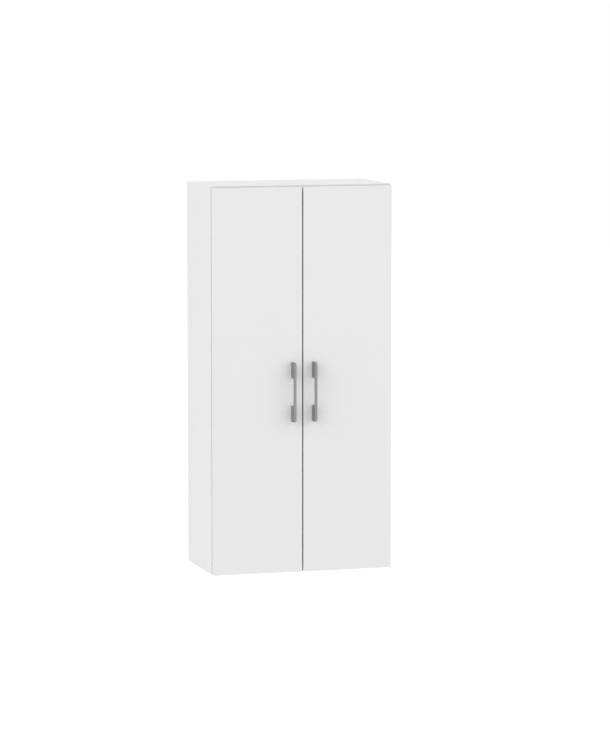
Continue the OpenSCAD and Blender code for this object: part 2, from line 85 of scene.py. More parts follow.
# door stops, and the holes that let a screwdriver through the hanger covers
STOP_ROUND = 0.5 * MM
ACCESS_RADIUS = 4.6 * MM
ACCESS_DEPTH = 5.6 * MM
ACCESS_AHEAD = 3 * MM

# stage
AIM_X, AIM_Z = 12.65 * MM, 637.5 * MM
SENSOR_WIDTH = 36
FLOOR_HALF_WIDTH = 30.0
FLOOR_LIFT = 0.35
ROOM_STRENGTH = 0.835
SOFTBOX_REACH = 9.0
SOFTBOX_SIZE = 0.75 * SOFTBOX_REACH
SOFTBOX_WAY = (0.71, -0.44, 0.43)


def linear(hex_colour):
    """An sRGB hex colour as the linear colour a shader takes."""
    parts = [int(hex_colour[i:i + 2], 16) / 255 for i in (1, 3, 5)]
    return tuple(c / 12.92 if c <= 0.04045 else ((c + 0.055) / 1.055) ** 2.4 for c in parts)


# ---------- settings ----------

class CabinetFinishes(bpy.types.PropertyGroup):
    """Colours of the cabinet's finishes; the carcass edging's grey is partly painted shade."""
    board: bpy.props.FloatVectorProperty(
        name="Board", description="White of the melamine facing",
        default=linear("#EAEAEA"), subtype="COLOR", min=0, max=1)
    door_edging: bpy.props.FloatVectorProperty(
        name="Door edging", description="White of the edge strips round the doors",
        default=linear("#EAEAEA"), subtype="COLOR", min=0, max=1)
    # partly painted shade: the carcass and shelf edging is made darker than the board, so that the
    # top panel's edge strip above the doors looks shaded
    carcass_edging_painted_shade: bpy.props.FloatVectorProperty(
        name="Carcass edging", description="Paler grey-white of the carcass and shelf edge strips",
        default=linear("#DDDDDC"), subtype="COLOR", min=0, max=1)
    handle: bpy.props.FloatVectorProperty(
        name="Handle", description="Grey of the satin handles",
        default=linear("#939391"), subtype="COLOR", min=0, max=1)
    moulding: bpy.props.FloatVectorProperty(
        name="Mouldings", description="White of the hanger mouldings",
        default=linear("#E8E8E6"), subtype="COLOR", min=0, max=1)


class CabinetSizes(bpy.types.PropertyGroup):
    """Small sizes that only show close up."""
    handle_round: bpy.props.FloatProperty(
        name="Handle rounding", description="Radius along the handle's long edges",
        default=0.5 * MM, min=0.2 * MM, max=2 * MM, unit="LENGTH")
    handle_corner: bpy.props.FloatProperty(
        name="Handle corner", description="Radius of the handle's outer ends",
        default=10 * MM, min=1 * MM, max=12 * MM, unit="LENGTH")
    grip_thickness: bpy.props.FloatProperty(
        name="Grip thickness", description="Thickness of the bar the fingers close round",
        default=6 * MM, min=4 * MM, max=8 * MM, unit="LENGTH")
    metal_round: bpy.props.FloatProperty(
        name="Metal edge rounding", description="Broken edge of stamped and cast fittings",
        default=0.25 * MM, min=0.05 * MM, max=0.5 * MM, unit="LENGTH")
    moulding_round: bpy.props.FloatProperty(
        name="Moulding rounding", description="Radius on the edges of plastic mouldings",
        default=0.6 * MM, min=0.2 * MM, max=0.7 * MM, unit="LENGTH")


class CabinetView(bpy.types.PropertyGroup):
    """Where the camera stands and how the cabinet is shown."""
    turn: bpy.props.FloatProperty(
        name="Turn", description="Camera's angle round the cabinet, to its left when negative",
        default=math.radians(-16.439), subtype="ANGLE")
    tilt: bpy.props.FloatProperty(
        name="Tilt", description="Camera's angle above the level",
        default=math.radians(6.3955), subtype="ANGLE")
    distance: bpy.props.FloatProperty(
        name="Distance", description="Camera to the point it looks at",
        default=11.1028, min=2, subtype="DISTANCE")
    lens: bpy.props.FloatProperty(
        name="Lens", description="Focal length on a 36 mm wide sensor", default=165.4, min=20)
    floor_drop: bpy.props.FloatProperty(
        name="Floor drop", description="Height of the cabinet's underside above the floor",
        default=1.4, min=0.0, unit="LENGTH")
    softbox_power: bpy.props.FloatProperty(
        name="Softbox power", description="Power of each of the two softboxes",
        default=147.0, min=0, unit="POWER")


# ---------- small helpers ----------

def put(tree, kind, inputs=None, **settings):
    """Adds one node with its settings, and fills its sockets with values or links."""
    node = tree.nodes.new(kind)
    for key, value in settings.items():
        setattr(node, key, value)
    for key, value in (inputs or {}).items():
        if isinstance(value, bpy.types.NodeSocket):
            tree.links.new(value, node.inputs[key])
        else:
            node.inputs[key].default_value = value
    return node


def blank_material(name):
    """A material without nodes, and its tree."""
    material = bpy.data.materials.new(name)
    material.use_nodes = True
    material.node_tree.nodes.clear()
    return material, material.node_tree


def linked(name, data):
    """A new object for some data, in the scene at the origin."""
    thing = bpy.data.objects.new(name, data)
    bpy.context.scene.collection.objects.link(thing)
    return thing


def add_piece(mesh, name, body, replaced, material):
    """Puts a finished mesh into the scene as a piece that rides on a body."""
    piece = linked(name, mesh)
    mesh.materials.clear()
    mesh.materials.append(material)
    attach(piece, body)
    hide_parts(*replaced)


def dress(node, material):
    """Gives a CAD node its material."""
    data = frame["nodes"][node].data
    data.materials.clear()
    data.materials.append(material)


def merged(node):
    """A CAD node's loose triangles, joined at their points, as a bmesh."""
    work = bmesh.new()
    work.from_mesh(frame["nodes"][node].data)
    bmesh.ops.remove_doubles(work, verts=work.verts, dist=TINY)
    return work


def mesh_of(work, name):
    """A new mesh from a bmesh, which is freed."""
    mesh = bpy.data.meshes.new(name)
    work.to_mesh(mesh)
    work.free()
    return mesh


def baked(source, name):
    """The plain mesh of an object with its modifiers, less any sliver; the object itself goes."""
    graph = bpy.context.evaluated_depsgraph_get()
    mesh = bpy.data.meshes.new_from_object(source.evaluated_get(graph), depsgraph=graph)
    mesh.name = name
    work = bmesh.new()
    work.from_mesh(mesh)
    bmesh.ops.dissolve_degenerate(work, dist=TINY, edges=work.edges)
    work.to_mesh(mesh)
    work.free()
    source.modifiers.clear()
    old = source.data
    bpy.data.objects.remove(source)
    if old.users == 0:
        bpy.data.meshes.remove(old)
    return mesh


def shade(mesh, degrees=32):
    """Makes faces smooth, and keeps creases above this angle sharp."""
    mesh.shade_smooth()
    mesh.set_sharp_from_angle(angle=math.radians(degrees))


def evened(mesh):
    """Weighs a mesh's normals by face area, so that flat faces stay flat beside rounded edges."""
    name = mesh.name
    holder = linked(name, mesh)
    weights = holder.modifiers.new("Face area", "WEIGHTED_NORMAL")
    weights.mode = "FACE_AREA"
    weights.keep_sharp = True
    return baked(holder, name)


def rounded(holder, label, width, segments, from_angle, crease):
    """The mesh of an object whose edges sharper than from_angle are rounded, shaded smooth."""
    bevel = holder.modifiers.new(label, "BEVEL")
    bevel.width = width
    bevel.segments = segments
    bevel.limit_method = "ANGLE"
    bevel.angle_limit = math.radians(from_angle)
    result = baked(holder, holder.name)
    shade(result, crease)
    return evened(result)


def softened(node, name, width, segments=2, cutter=None):
    """A CAD node's merged copy whose creases are broken to a small radius, less the cutter."""
    work = merged(node)
    # flat faces become one face each, so that only real edges are broken
    bmesh.ops.dissolve_limit(work, angle_limit=math.radians(0.5), use_dissolve_boundaries=False,
                             verts=work.verts, edges=work.edges, delimit=set())
    holder = linked(name, mesh_of(work, name))
    if cutter is not None:
        cut = holder.modifiers.new("Access holes", "BOOLEAN")
        cut.object = cutter
        cut.operation, cut.solver = "DIFFERENCE", "EXACT"
    return rounded(holder, "Broken edges", width, segments, 40, 32)


def islands(node):
    """The boxes of a CAD node's separate solids, as (lowest, highest) corners."""
    work = merged(node)
    seen, boxes = set(), []
    for start in work.verts:
        if start in seen:
            continue
        stack, found = [start], []
        seen.add(start)
        while stack:
            vert = stack.pop()
            found.append(vert.co.copy())
            for edge in vert.link_edges:
                other = edge.other_vert(vert)
                if other not in seen:
                    seen.add(other)
                    stack.append(other)
        boxes.append((Vector(map(min, *found)), Vector(map(max, *found))))
    work.free()
    return boxes


# ---------- materials ----------

def chipboard_mix(tree, point, length_axis):
    """Colour of raw chipboard: flat pale chips 3 x 0.9 mm along the board, in darker glue dust."""
    chip = [1 / (0.9 * MM)] * 3
    chip[length_axis] = 1 / (3 * MM)
    laid = put(tree, "ShaderNodeMapping", {"Vector": point, "Scale": chip})
    # pressing bends the chips, so their outlines wander
    bent = put(tree, "ShaderNodeTexNoise", {"Vector": laid.outputs[0], "Scale": 0.8, "Detail": 2.0})
    wander = put(tree, "ShaderNodeVectorMath", {0: laid.outputs[0], 1: bent.outputs["Color"]})
    chips = put(tree, "ShaderNodeTexVoronoi", {"Vector": wander.outputs[0], "Scale": 1.0})
    dust = put(tree, "ShaderNodeTexNoise", {"Vector": laid.outputs[0], "Scale": 2.5, "Detail": 3.0})
    blend = put(tree, "ShaderNodeMath", {0: chips.outputs["Color"], 1: dust.outputs["Fac"]},
                operation="MULTIPLY")
    ramp = put(tree, "ShaderNodeValToRGB", {"Fac": blend.outputs[0]})
    ramp.color_ramp.elements[0].color = (*linear("#957650"), 1)
    ramp.color_ramp.elements[0].position = 0.02
    ramp.color_ramp.elements[1].color = (*linear("#D9C096"), 1)
    ramp.color_ramp.elements[1].position = 0.42
    return ramp.outputs["Color"]


def melamine_faced_board(name, colour, length_axis=2, raw_behind=None, bored_axis=None, box=None):
    """White melamine facing, pressed with a fine pearl: satin, nearly even, a faint orange peel.

    length_axis is the board's long way. raw_behind is the Y beyond which the unbanded rear edge
    shows its chipboard. bored_axis is the axis that the fitting holes run along, within the box;
    their walls, and the groove's, show chipboard too.
    """
    material, tree = blank_material(name)
    point = put(tree, "ShaderNodeTexCoord").outputs["Object"]
    # pearl pressed into the facing, 0.7 mm from crest to crest, a few microns deep
    pearl = put(tree, "ShaderNodeTexNoise", {"Vector": point, "Scale": 1 / (0.7 * MM),
                                             "Detail": 2.0})
    # slow wave of the pressed paper, a palm's width across
    wave = put(tree, "ShaderNodeTexNoise", {"Vector": point, "Scale": 1 / (90 * MM),
                                            "Detail": 1.0})
    bump = put(tree, "ShaderNodeBump", {"Height": pearl.outputs["Fac"], "Strength": 0.25,
                                        "Distance": 0.01 * MM})
    tint = put(tree, "ShaderNodeMix", {"Factor": wave.outputs["Fac"]}, data_type="RGBA")
    tint.inputs["A"].default_value = (*[c * 0.992 for c in colour], 1)
    tint.inputs["B"].default_value = (*[min(1, c * 1.006) for c in colour], 1)
    paint = tint.outputs["Result"]
    raw = None
    parts = put(tree, "ShaderNodeSeparateXYZ", {"Vector": point})
    if raw_behind is not None:
        raw = put(tree, "ShaderNodeMath", {0: parts.outputs["Y"], 1: raw_behind},
                  operation="GREATER_THAN").outputs[0]
    if bored_axis is not None:
        low, high = box
        facing = put(tree, "ShaderNodeSeparateXYZ",
                     {"Vector": put(tree, "ShaderNodeNewGeometry").outputs["Normal"]})
        side_on = put(tree, "ShaderNodeMath", {0: facing.outputs[bored_axis]}, operation="ABSOLUTE")
        wall = put(tree, "ShaderNodeMath", {0: side_on.outputs[0], 1: 0.5}, operation="LESS_THAN")
        inside = wall.outputs[0]
        for i, axis in enumerate("XYZ"):
            if axis == bored_axis:
                continue
            for operation, limit in (("GREATER_THAN", low[i] + BOARD_RIM),
                                     ("LESS_THAN", high[i] - BOARD_RIM)):
                within = put(tree, "ShaderNodeMath", {0: parts.outputs[axis], 1: limit},
                             operation=operation)
                inside = put(tree, "ShaderNodeMath", {0: inside, 1: within.outputs[0]},
                             operation="MULTIPLY").outputs[0]
        raw = inside if raw is None else put(tree, "ShaderNodeMath", {0: raw, 1: inside},
                                             operation="MAXIMUM").outputs[0]
    rough = satin = 0.42
    if raw is not None:
        mixed = put(tree, "ShaderNodeMix", {"Factor": raw, "A": paint,
                                            "B": chipboard_mix(tree, point, length_axis)},
                    data_type="RGBA")
        paint = mixed.outputs["Result"]
        rough = put(tree, "ShaderNodeMapRange", {"Value": raw, "To Min": satin,
                                                 "To Max": 0.85}).outputs["Result"]
    shader = put(tree, "ShaderNodeBsdfPrincipled", {
        "Base Color": paint, "Roughness": rough, "IOR": 1.5, "Normal": bump.outputs["Normal"]})
    put(tree, "ShaderNodeOutputMaterial", {"Surface": shader.outputs[0]})
    return material


def abs_edging(name, colour):
    """Extruded ABS edging: a shade glossier than the board, with a soft mottle from buffing."""
    material, tree = blank_material(name)
    point = put(tree, "ShaderNodeTexCoord").outputs["Object"]
    # the mottle is about 3 mm from crest to crest
    mottle = put(tree, "ShaderNodeTexNoise", {"Vector": point, "Scale": 1 / (3 * MM),
                                              "Detail": 2.0})
    rough = put(tree, "ShaderNodeMapRange", {"Value": mottle.outputs["Fac"],
                                             "To Min": 0.34, "To Max": 0.42})
    bump = put(tree, "ShaderNodeBump", {"Height": mottle.outputs["Fac"], "Strength": 0.15,
                                        "Distance": 0.01 * MM})
    shader = put(tree, "ShaderNodeBsdfPrincipled", {
        "Base Color": (*colour, 1), "Roughness": rough.outputs["Result"], "IOR": 1.52,
        "Normal": bump.outputs["Normal"]})
    put(tree, "ShaderNodeOutputMaterial", {"Surface": shader.outputs[0]})
    return material


def satin_metal_handle(name, colour):
    """Zinc casting, brushed along its length and plated satin: dull grey, soft long highlights."""
    material, tree = blank_material(name)
    point = put(tree, "ShaderNodeTexCoord").outputs["Object"]
    # brush lines 0.15 mm apart and 12 mm long, along the handle
    stretched = put(tree, "ShaderNodeMapping", {"Vector": point, "Scale": (
        1 / (0.15 * MM), 1 / (0.15 * MM), 1 / (12 * MM))})
    brush = put(tree, "ShaderNodeTexNoise", {"Vector": stretched.outputs[0], "Scale": 1.0,
                                             "Detail": 3.0})
    rough = put(tree, "ShaderNodeMapRange", {"Value": brush.outputs["Fac"],
                                             "To Min": 0.36, "To Max": 0.5})
    tone = put(tree, "ShaderNodeMix", {"Factor": brush.outputs["Fac"]}, data_type="RGBA")
    tone.inputs["A"].default_value = (*[c * 0.93 for c in colour], 1)
    tone.inputs["B"].default_value = (*[c * 1.07 for c in colour], 1)
    bump = put(tree, "ShaderNodeBump", {"Height": brush.outputs["Fac"], "Strength": 0.3,
                                        "Distance": 0.01 * MM})
    shader = put(tree, "ShaderNodeBsdfPrincipled", {
        "Base Color": tone.outputs["Result"], "Metallic": 0.85,
        "Roughness": rough.outputs["Result"], "Normal": bump.outputs["Normal"]})
    put(tree, "ShaderNodeOutputMaterial", {"Surface": shader.outputs[0]})
    return material


def plated_steel(name, colour, rough_low, rough_high, grain):
    """Plated steel: bright metal whose plating copies the sheet's fine grain."""
    material, tree = blank_material(name)
    point = put(tree, "ShaderNodeTexCoord").outputs["Object"]
    fine = put(tree, "ShaderNodeTexNoise", {"Vector": point, "Scale": 1 / grain, "Detail": 4.0})
    cloud = put(tree, "ShaderNodeTexNoise", {"Vector": point, "Scale": 1 / (14 * MM),
                                             "Detail": 2.0})
    rough = put(tree, "ShaderNodeMapRange", {"Value": cloud.outputs["Fac"],
                                             "To Min": rough_low, "To Max": rough_high})
    tone = put(tree, "ShaderNodeMix", {"Factor": cloud.outputs["Fac"]}, data_type="RGBA")
    tone.inputs["A"].default_value = (*[c * 0.94 for c in colour], 1)
    tone.inputs["B"].default_value = (*[min(1, c * 1.04) for c in colour], 1)
    bump = put(tree, "ShaderNodeBump", {"Height": fine.outputs["Fac"], "Strength": 0.2,
                                        "Distance": 0.02 * MM})
    shader = put(tree, "ShaderNodeBsdfPrincipled", {
        "Base Color": tone.outputs["Result"], "Metallic": 1.0,
        "Roughness": rough.outputs["Result"], "Normal": bump.outputs["Normal"]})
    put(tree, "ShaderNodeOutputMaterial", {"Surface": shader.outputs[0]})
    return material


def galvanised_strip(name):
    """Hot-dip galvanised strip: zinc crystals 4 to 7 mm across, each with its own dull sheen."""
    material, tree = blank_material(name)
    point = put(tree, "ShaderNodeTexCoord").outputs["Object"]
    spangle = put(tree, "ShaderNodeTexVoronoi", {"Vector": point, "Scale": 1 / (5.5 * MM)})
    ramp = put(tree, "ShaderNodeValToRGB", {"Fac": spangle.outputs["Color"]})
    ramp.color_ramp.elements[0].color = (*linear("#AFB2B4"), 1)
    ramp.color_ramp.elements[1].color = (*linear("#BFC3C5"), 1)
    rough = put(tree, "ShaderNodeMapRange", {"Value": spangle.outputs["Color"],
                                             "To Min": 0.32, "To Max": 0.5})
    shader = put(tree, "ShaderNodeBsdfPrincipled", {
        "Base Color": ramp.outputs["Color"], "Metallic": 1.0, "Roughness": rough.outputs["Result"]})
    put(tree, "ShaderNodeOutputMaterial", {"Surface": shader.outputs[0]})
    return material


def moulded_polypropylene(name, colour):
    """Injection-moulded plastic with a spark-eroded skin: even, soft sheen, 0.25 mm grain."""
    material, tree = blank_material(name)
    point = put(tree, "ShaderNodeTexCoord").outputs["Object"]
    grain = put(tree, "ShaderNodeTexNoise", {"Vector": point, "Scale": 1 / (0.25 * MM),
                                             "Detail": 2.0})
    bump = put(tree, "ShaderNodeBump", {"Height": grain.outputs["Fac"], "Strength": 0.3,
                                        "Distance": 0.02 * MM})
    shader = put(tree, "ShaderNodeBsdfPrincipled", {
        "Base Color": (*colour, 1), "Roughness": 0.46, "IOR": 1.49,
        "Normal": bump.outputs["Normal"]})
    put(tree, "ShaderNodeOutputMaterial", {"Surface": shader.outputs[0]})
    return material


def clear_polyurethane(name):
    """Clear soft stop: cast polyurethane, glossy and see-through with a milky tint."""
    material, tree = blank_material(name)
    point = put(tree, "ShaderNodeTexCoord").outputs["Object"]
    # cast skin: slow waves about 1.5 mm long
    skin = put(tree, "ShaderNodeTexNoise", {"Vector": point, "Scale": 1 / (1.5 * MM)})
    rough = put(tree, "ShaderNodeMapRange", {"Value": skin.outputs["Fac"],
                                             "To Min": 0.1, "To Max": 0.18})
    shader = put(tree, "ShaderNodeBsdfPrincipled", {
        "Base Color": (*linear("#EEF0F0"), 1), "Roughness": rough.outputs["Result"], "IOR": 1.5,
        "Transmission Weight": 0.75})
    put(tree, "ShaderNodeOutputMaterial", {"Surface": shader.outputs[0]})
    return material


def beech_dowel(name):
    """Turned beech: pale tan with short darker flecks along the grain."""
    material, tree = blank_material(name)
    point = put(tree, "ShaderNodeTexCoord").outputs["Object"]
    along = put(tree, "ShaderNodeMapping", {"Vector": point, "Scale": (
        1 / (9 * MM), 1 / (0.6 * MM), 1 / (0.6 * MM))})
    fleck = put(tree, "ShaderNodeTexNoise", {"Vector": along.outputs[0], "Scale": 1.0,
                                             "Detail": 3.0})
    ramp = put(tree, "ShaderNodeValToRGB", {"Fac": fleck.outputs["Fac"]})
    ramp.color_ramp.elements[0].color = (*linear("#A67F52"), 1)
    ramp.color_ramp.elements[0].position = 0.3
    ramp.color_ramp.elements[1].color = (*linear("#D8B88A"), 1)
    ramp.color_ramp.elements[1].position = 0.65
    shader = put(tree, "ShaderNodeBsdfPrincipled", {
        "Base Color": ramp.outputs["Color"], "Roughness": 0.65, "IOR": 1.45})
    put(tree, "ShaderNodeOutputMaterial", {"Surface": shader.outputs[0]})
    return material


def shared(name, make, *args):
    """A material made once and used again by name."""
    return bpy.data.materials.get(name) or make(name, *args)


def nickel():
    """Bright nickel over stamped steel: warm and fairly sharp in its reflections."""
    return shared("nickel_plated_steel", plated_steel, linear("#C8C3BA"), 0.2, 0.3, 0.3 * MM)


def screw_zinc():
    """Blue-passivated zinc on screws: cool, a little duller than nickel."""
    return shared("zinc_plated_steel", plated_steel, linear("#B4BAC1"), 0.26, 0.36, 0.2 * MM)


def cast_zinc():
    """Raw zinc casting: grey, matte, with the die's fine grain."""
    return shared("zinc_die_cast", plated_steel, linear("#9B9EA1"), 0.42, 0.55, 0.4 * MM)


# ---------- repeated pieces by geometry nodes ----------

def socket_id(tree, name):
    """Identifier of a node group's input, which a modifier needs."""
    for item in tree.interface.items_tree:
        if item.item_type == "SOCKET" and item.in_out == "INPUT" and item.name == name:
            return item.identifier
    raise KeyError(name)


def screw_tree():
    """Node group: a threaded screw with a stepped head and a cross recess on every point."""
    tree = bpy.data.node_groups.new("threaded_screw", "GeometryNodeTree")
    face = tree.interface
    face.new_socket("Geometry", in_out="INPUT", socket_type="NodeSocketGeometry")
    sizes = {"Head Radius": 3.8, "Head Height": 1.8, "Shank Radius": 2.2, "Shank Length": 12.0,
             "Thread Height": 0.25, "Thread Pitch": 1.5, "Recess Width": 0.9, "Recess Depth": 1.0}
    for label, default in sizes.items():
        item = face.new_socket(label, in_out="INPUT", socket_type="NodeSocketFloat")
        item.default_value = default * MM
        item.subtype = "DISTANCE"
    face.new_socket("Finish", in_out="INPUT", socket_type="NodeSocketMaterial")
    face.new_socket("Geometry", in_out="OUTPUT", socket_type="NodeSocketGeometry")
    given = put(tree, "NodeGroupInput").outputs

    def lifted(geometry, height):
        place = put(tree, "ShaderNodeCombineXYZ", {"Z": height})
        return put(tree, "GeometryNodeTransform", {"Geometry": geometry,
                                                   "Translation": place.outputs[0]}).outputs[0]

    # lengths that follow from the named sizes
    follow = {}
    for label, operation, first, second in (
            ("head middle", "MULTIPLY", given["Head Height"], -0.5),
            ("crown foot", "MULTIPLY", given["Head Height"], -0.25),
            ("half shank", "MULTIPLY", given["Shank Length"], 0.5),
            ("to shank middle", "ADD", "half shank", given["Head Height"]),
            ("shank middle", "MULTIPLY", "to shank middle", -1.0),
            ("blade length", "MULTIPLY", given["Head Radius"], 1.15),
            ("blade depth", "MULTIPLY", given["Recess Depth"], 2.0),
            ("thread rise", "MULTIPLY", given["Shank Length"], 0.92),
            ("turns", "DIVIDE", "thread rise", given["Thread Pitch"]),
            ("to tip", "ADD", given["Shank Length"], given["Head Height"]),
            ("tip", "MULTIPLY", "to tip", -1.0)):
        follow[label] = put(tree, "ShaderNodeMath", {
            0: follow[first] if isinstance(first, str) else first, 1: second},
            operation=operation).outputs[0]

    # head: a straight wall below and a crown that narrows to a flat top, which is at the point
    blank = put(tree, "GeometryNodeMeshCylinder", {
        "Vertices": 36, "Side Segments": 2, "Radius": given["Head Radius"],
        "Depth": given["Head Height"]})
    blank = lifted(blank.outputs["Mesh"], follow["head middle"])
    spot = put(tree, "GeometryNodeInputPosition").outputs[0]
    height = put(tree, "ShaderNodeSeparateXYZ", {"Vector": spot}).outputs["Z"]
    top_ring = put(tree, "FunctionNodeCompare", {0: height, 1: follow["crown foot"]},
                   data_type="FLOAT", operation="GREATER_THAN")
    narrowed = put(tree, "ShaderNodeVectorMath", {0: spot, 1: (0.8, 0.8, 1.0)},
                   operation="MULTIPLY")
    head = put(tree, "GeometryNodeSetPosition", {
        "Geometry": blank, "Selection": top_ring.outputs[0], "Position": narrowed.outputs[0]})
    shank = put(tree, "GeometryNodeMeshCylinder", {
        "Vertices": 24, "Radius": given["Shank Radius"], "Depth": given["Shank Length"]})
    shank = lifted(shank.outputs["Mesh"], follow["shank middle"])
    # cross recess, cut once before the screw is repeated
    blade_size = put(tree, "ShaderNodeCombineXYZ", {
        "X": follow["blade length"], "Y": given["Recess Width"], "Z": follow["blade depth"]})
    blade = put(tree, "GeometryNodeMeshCube", {"Size": blade_size.outputs[0]}).outputs["Mesh"]
    cross_size = put(tree, "ShaderNodeCombineXYZ", {
        "X": given["Recess Width"], "Y": follow["blade length"], "Z": follow["blade depth"]})
    cross = put(tree, "GeometryNodeMeshCube", {"Size": cross_size.outputs[0]}).outputs["Mesh"]
    cut = put(tree, "GeometryNodeMeshBoolean", {"Mesh 1": head.outputs["Geometry"]},
              operation="DIFFERENCE", solver="EXACT")
    tree.links.new(blade, cut.inputs["Mesh 2"])
    tree.links.new(cross, cut.inputs["Mesh 2"])
    # thread: a small ridge wound round the shank
    helix = put(tree, "GeometryNodeCurveSpiral", {
        "Resolution": 16, "Rotations": follow["turns"], "Start Radius": given["Shank Radius"],
        "End Radius": given["Shank Radius"], "Height": follow["thread rise"]})
    ridge = put(tree, "GeometryNodeCurvePrimitiveCircle", {
        "Resolution": 3, "Radius": given["Thread Height"]}, mode="RADIUS")
    thread = put(tree, "GeometryNodeCurveToMesh", {
        "Curve": helix.outputs["Curve"], "Profile Curve": ridge.outputs["Curve"],
        "Fill Caps": True}).outputs["Mesh"]
    thread = lifted(thread, follow["tip"])
    whole = put(tree, "GeometryNodeJoinGeometry")
    for part in (cut.outputs["Mesh"], shank, thread):
        tree.links.new(part, whole.inputs["Geometry"])
    heading = put(tree, "GeometryNodeInputNamedAttribute", {"Name": "heading"},
                  data_type="FLOAT_VECTOR")
    aim = put(tree, "FunctionNodeAlignRotationToVector", {"Vector": heading.outputs[0]}, axis="Z")
    points = put(tree, "GeometryNodeInstanceOnPoints", {
        "Points": given["Geometry"], "Instance": whole.outputs[0], "Rotation": aim.outputs[0]})
    real = put(tree, "GeometryNodeRealizeInstances", {"Geometry": points.outputs[0]})
    coated = put(tree, "GeometryNodeSetMaterial", {
        "Geometry": real.outputs[0], "Material": given["Finish"]})
    put(tree, "NodeGroupOutput", {"Geometry": coated.outputs[0]})
    return tree


def repeated(tree, name, places, sizes):
    """Runs a node group on points (position, heading) and returns the plain mesh."""
    mesh = bpy.data.meshes.new(name)
    mesh.from_pydata([place for place, _ in places], [], [])
    heading = mesh.attributes.new("heading", "FLOAT_VECTOR", "POINT")
    for slot, (_, way) in zip(heading.data, places):
        slot.vector = way
    holder = linked(name, mesh)
    modifier = holder.modifiers.new(name, "NODES")
    modifier.node_group = tree
    for label, value in sizes.items():
        modifier[socket_id(tree, label)] = value
    result = baked(holder, name)
    if len(result.polygons) == 0:
        raise RuntimeError(f"{name} came out empty")
    shade(result)
    return result


def screws(node, body, head_axis, sizes):
    """Threaded screws where a CAD node's plain ones are.

    head_axis gives the direction out of the head for a box's middle point.
    """
    tree = bpy.data.node_groups.get("threaded_screw") or screw_tree()
    places = []
    for low, high in islands(node):
        middle = (low + high) / 2
        way = Vector(head_axis(middle))
        reach = Vector([high[i] if way[i] > 0 else low[i] for i in range(3)])
        spot = Vector([reach[i] if abs(way[i]) > 0.5 else middle[i] for i in range(3)])
        places.append((spot, way))
    mesh = repeated(tree, node + "_threaded", places, {**sizes, "Finish": screw_zinc()})
    add_piece(mesh, node + "_threaded", body, [node], screw_zinc())


def out_of_side(middle):
    """Heads on the side panels face into the cabinet."""
    return (1, 0, 0) if middle.x < 0 else (-1, 0, 0)


def out_of_door(middle):
    """Heads on the back of a closed door face the wall."""
    return (0, 1, 0)


def towards_room(middle):
    """Heads that are turned from inside the cabinet face its doors."""
    return (0, -1, 0)


# ---------- operators ----------

class CABINET_OT_boards(bpy.types.Operator):
    """Face the carcass boards, the shelves and the doors with white melamine"""
    bl_idname = "cabinet.boards"
    bl_label = "Boards"

    def execute(self, context):
        white = tuple(context.scene.cabinet_finishes.board)
        for node in ("left_side", "right_side"):
            dress(node, melamine_faced_board(node + "_melamine", white, 2, -REAR_FACE, "X",
                                             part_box(node)))
        for node in ("top_panel", "bottom_panel"):
            dress(node, melamine_faced_board(node + "_melamine", white, 0, -REAR_FACE, "Z",
                                             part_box(node)))
        for node in ("lower_shelf", "middle_shelf", "upper_shelf"):
            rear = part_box(node)[1].y - REAR_FACE
            dress(node, melamine_faced_board(node + "_melamine", white, 0, rear))
        plain = melamine_faced_board("door_melamine", white)
        for side in SIDES:
            dress(side + "_door", plain)
        dress("back_panel", melamine_faced_board("back_panel_melamine",
                                                 tuple(c * 0.98 for c in white)))
        return {"FINISHED"}


class CABINET_OT_edging(bpy.types.Operator):
    """Glue ABS edging on the boards' front edges and round the doors"""
    bl_idname = "cabinet.edging"
    bl_label = "Edging"

    def execute(self, context):
        finishes = context.scene.cabinet_finishes
        # the carcass edging's grey is partly painted shade, which darkens the top panel's edge
        # strip above the doors
        carcass = abs_edging("carcass_abs_edging_painted_shade", tuple(finishes.carcass_edging_painted_shade))
        door = abs_edging("door_abs_edging", tuple(finishes.door_edging))
        for node in ("carcass_edge_strips", "shelf_edge_strips"):
            dress(node, carcass)
        for side in SIDES:
            dress(side + "_door_strips", door)
        return {"FINISHED"}


class CABINET_OT_handles(bpy.types.Operator):
    """Cast the two bow handles: a flat bar on two deep legs, all edges rounded"""
    bl_idname = "cabinet.handles"
    bl_label = "Handles"

    def execute(self, context):
        sizes = context.scene.cabinet_sizes
        metal = satin_metal_handle("satin_nickel_zinc",
                                   tuple(context.scene.cabinet_finishes.handle))
        for side in SIDES:
            mesh = self.bow(side, side + "_bow_handle", sizes)
            add_piece(mesh, side + "_bow_handle", side + "_door",
                      [side + "_handle"], metal)
        return {"FINISHED"}

    def bow(self, side, name, sizes):
        """The bow's side outline, pushed across its width, with its edges rounded."""
        low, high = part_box(side + "_handle")
        gap = finger_gap(side)
        corner, inner = sizes.handle_corner, INNER_CORNER
        bar_back = low.y + sizes.grip_thickness
        outline = [(high.y, low.z)]
        outline += arc(low.y + corner, low.z + corner, corner, 270, 180)
        outline += arc(low.y + corner, high.z - corner, corner, 180, 90)
        outline.append((high.y, high.z))
        outline.append((high.y, gap[1]))
        outline += arc(bar_back + inner, gap[1] - inner, inner, 90, 180)
        outline += arc(bar_back + inner, gap[0] + inner, inner, 180, 270)
        outline.append((high.y, gap[0]))
        work = bmesh.new()
        rings = []
        for x in (low.x, high.x):
            rings.append([work.verts.new((x, y, z)) for y, z in outline])
        work.faces.new(rings[0])
        work.faces.new(reversed(rings[1]))
        count = len(outline)
        for i in range(count):
            j = (i + 1) % count
            work.faces.new((rings[0][j], rings[0][i], rings[1][i], rings[1][j]))
        bmesh.ops.recalc_face_normals(work, faces=work.faces)
        holder = linked(name, mesh_of(work, name))
        return rounded(holder, "Rounded edges", sizes.handle_round, 5, 50, 40)


def finger_gap(side):
    """Lowest and highest Z of the gap between a handle's legs."""
    for opening in frame["record"]["physics"]["openings"]:
        if opening["name"] == side + "_finger_gap":
            low, high = opening["box_m"]
            return low[2] - OPENING_MARGIN, high[2] + OPENING_MARGIN
    raise KeyError(side + "_finger_gap")


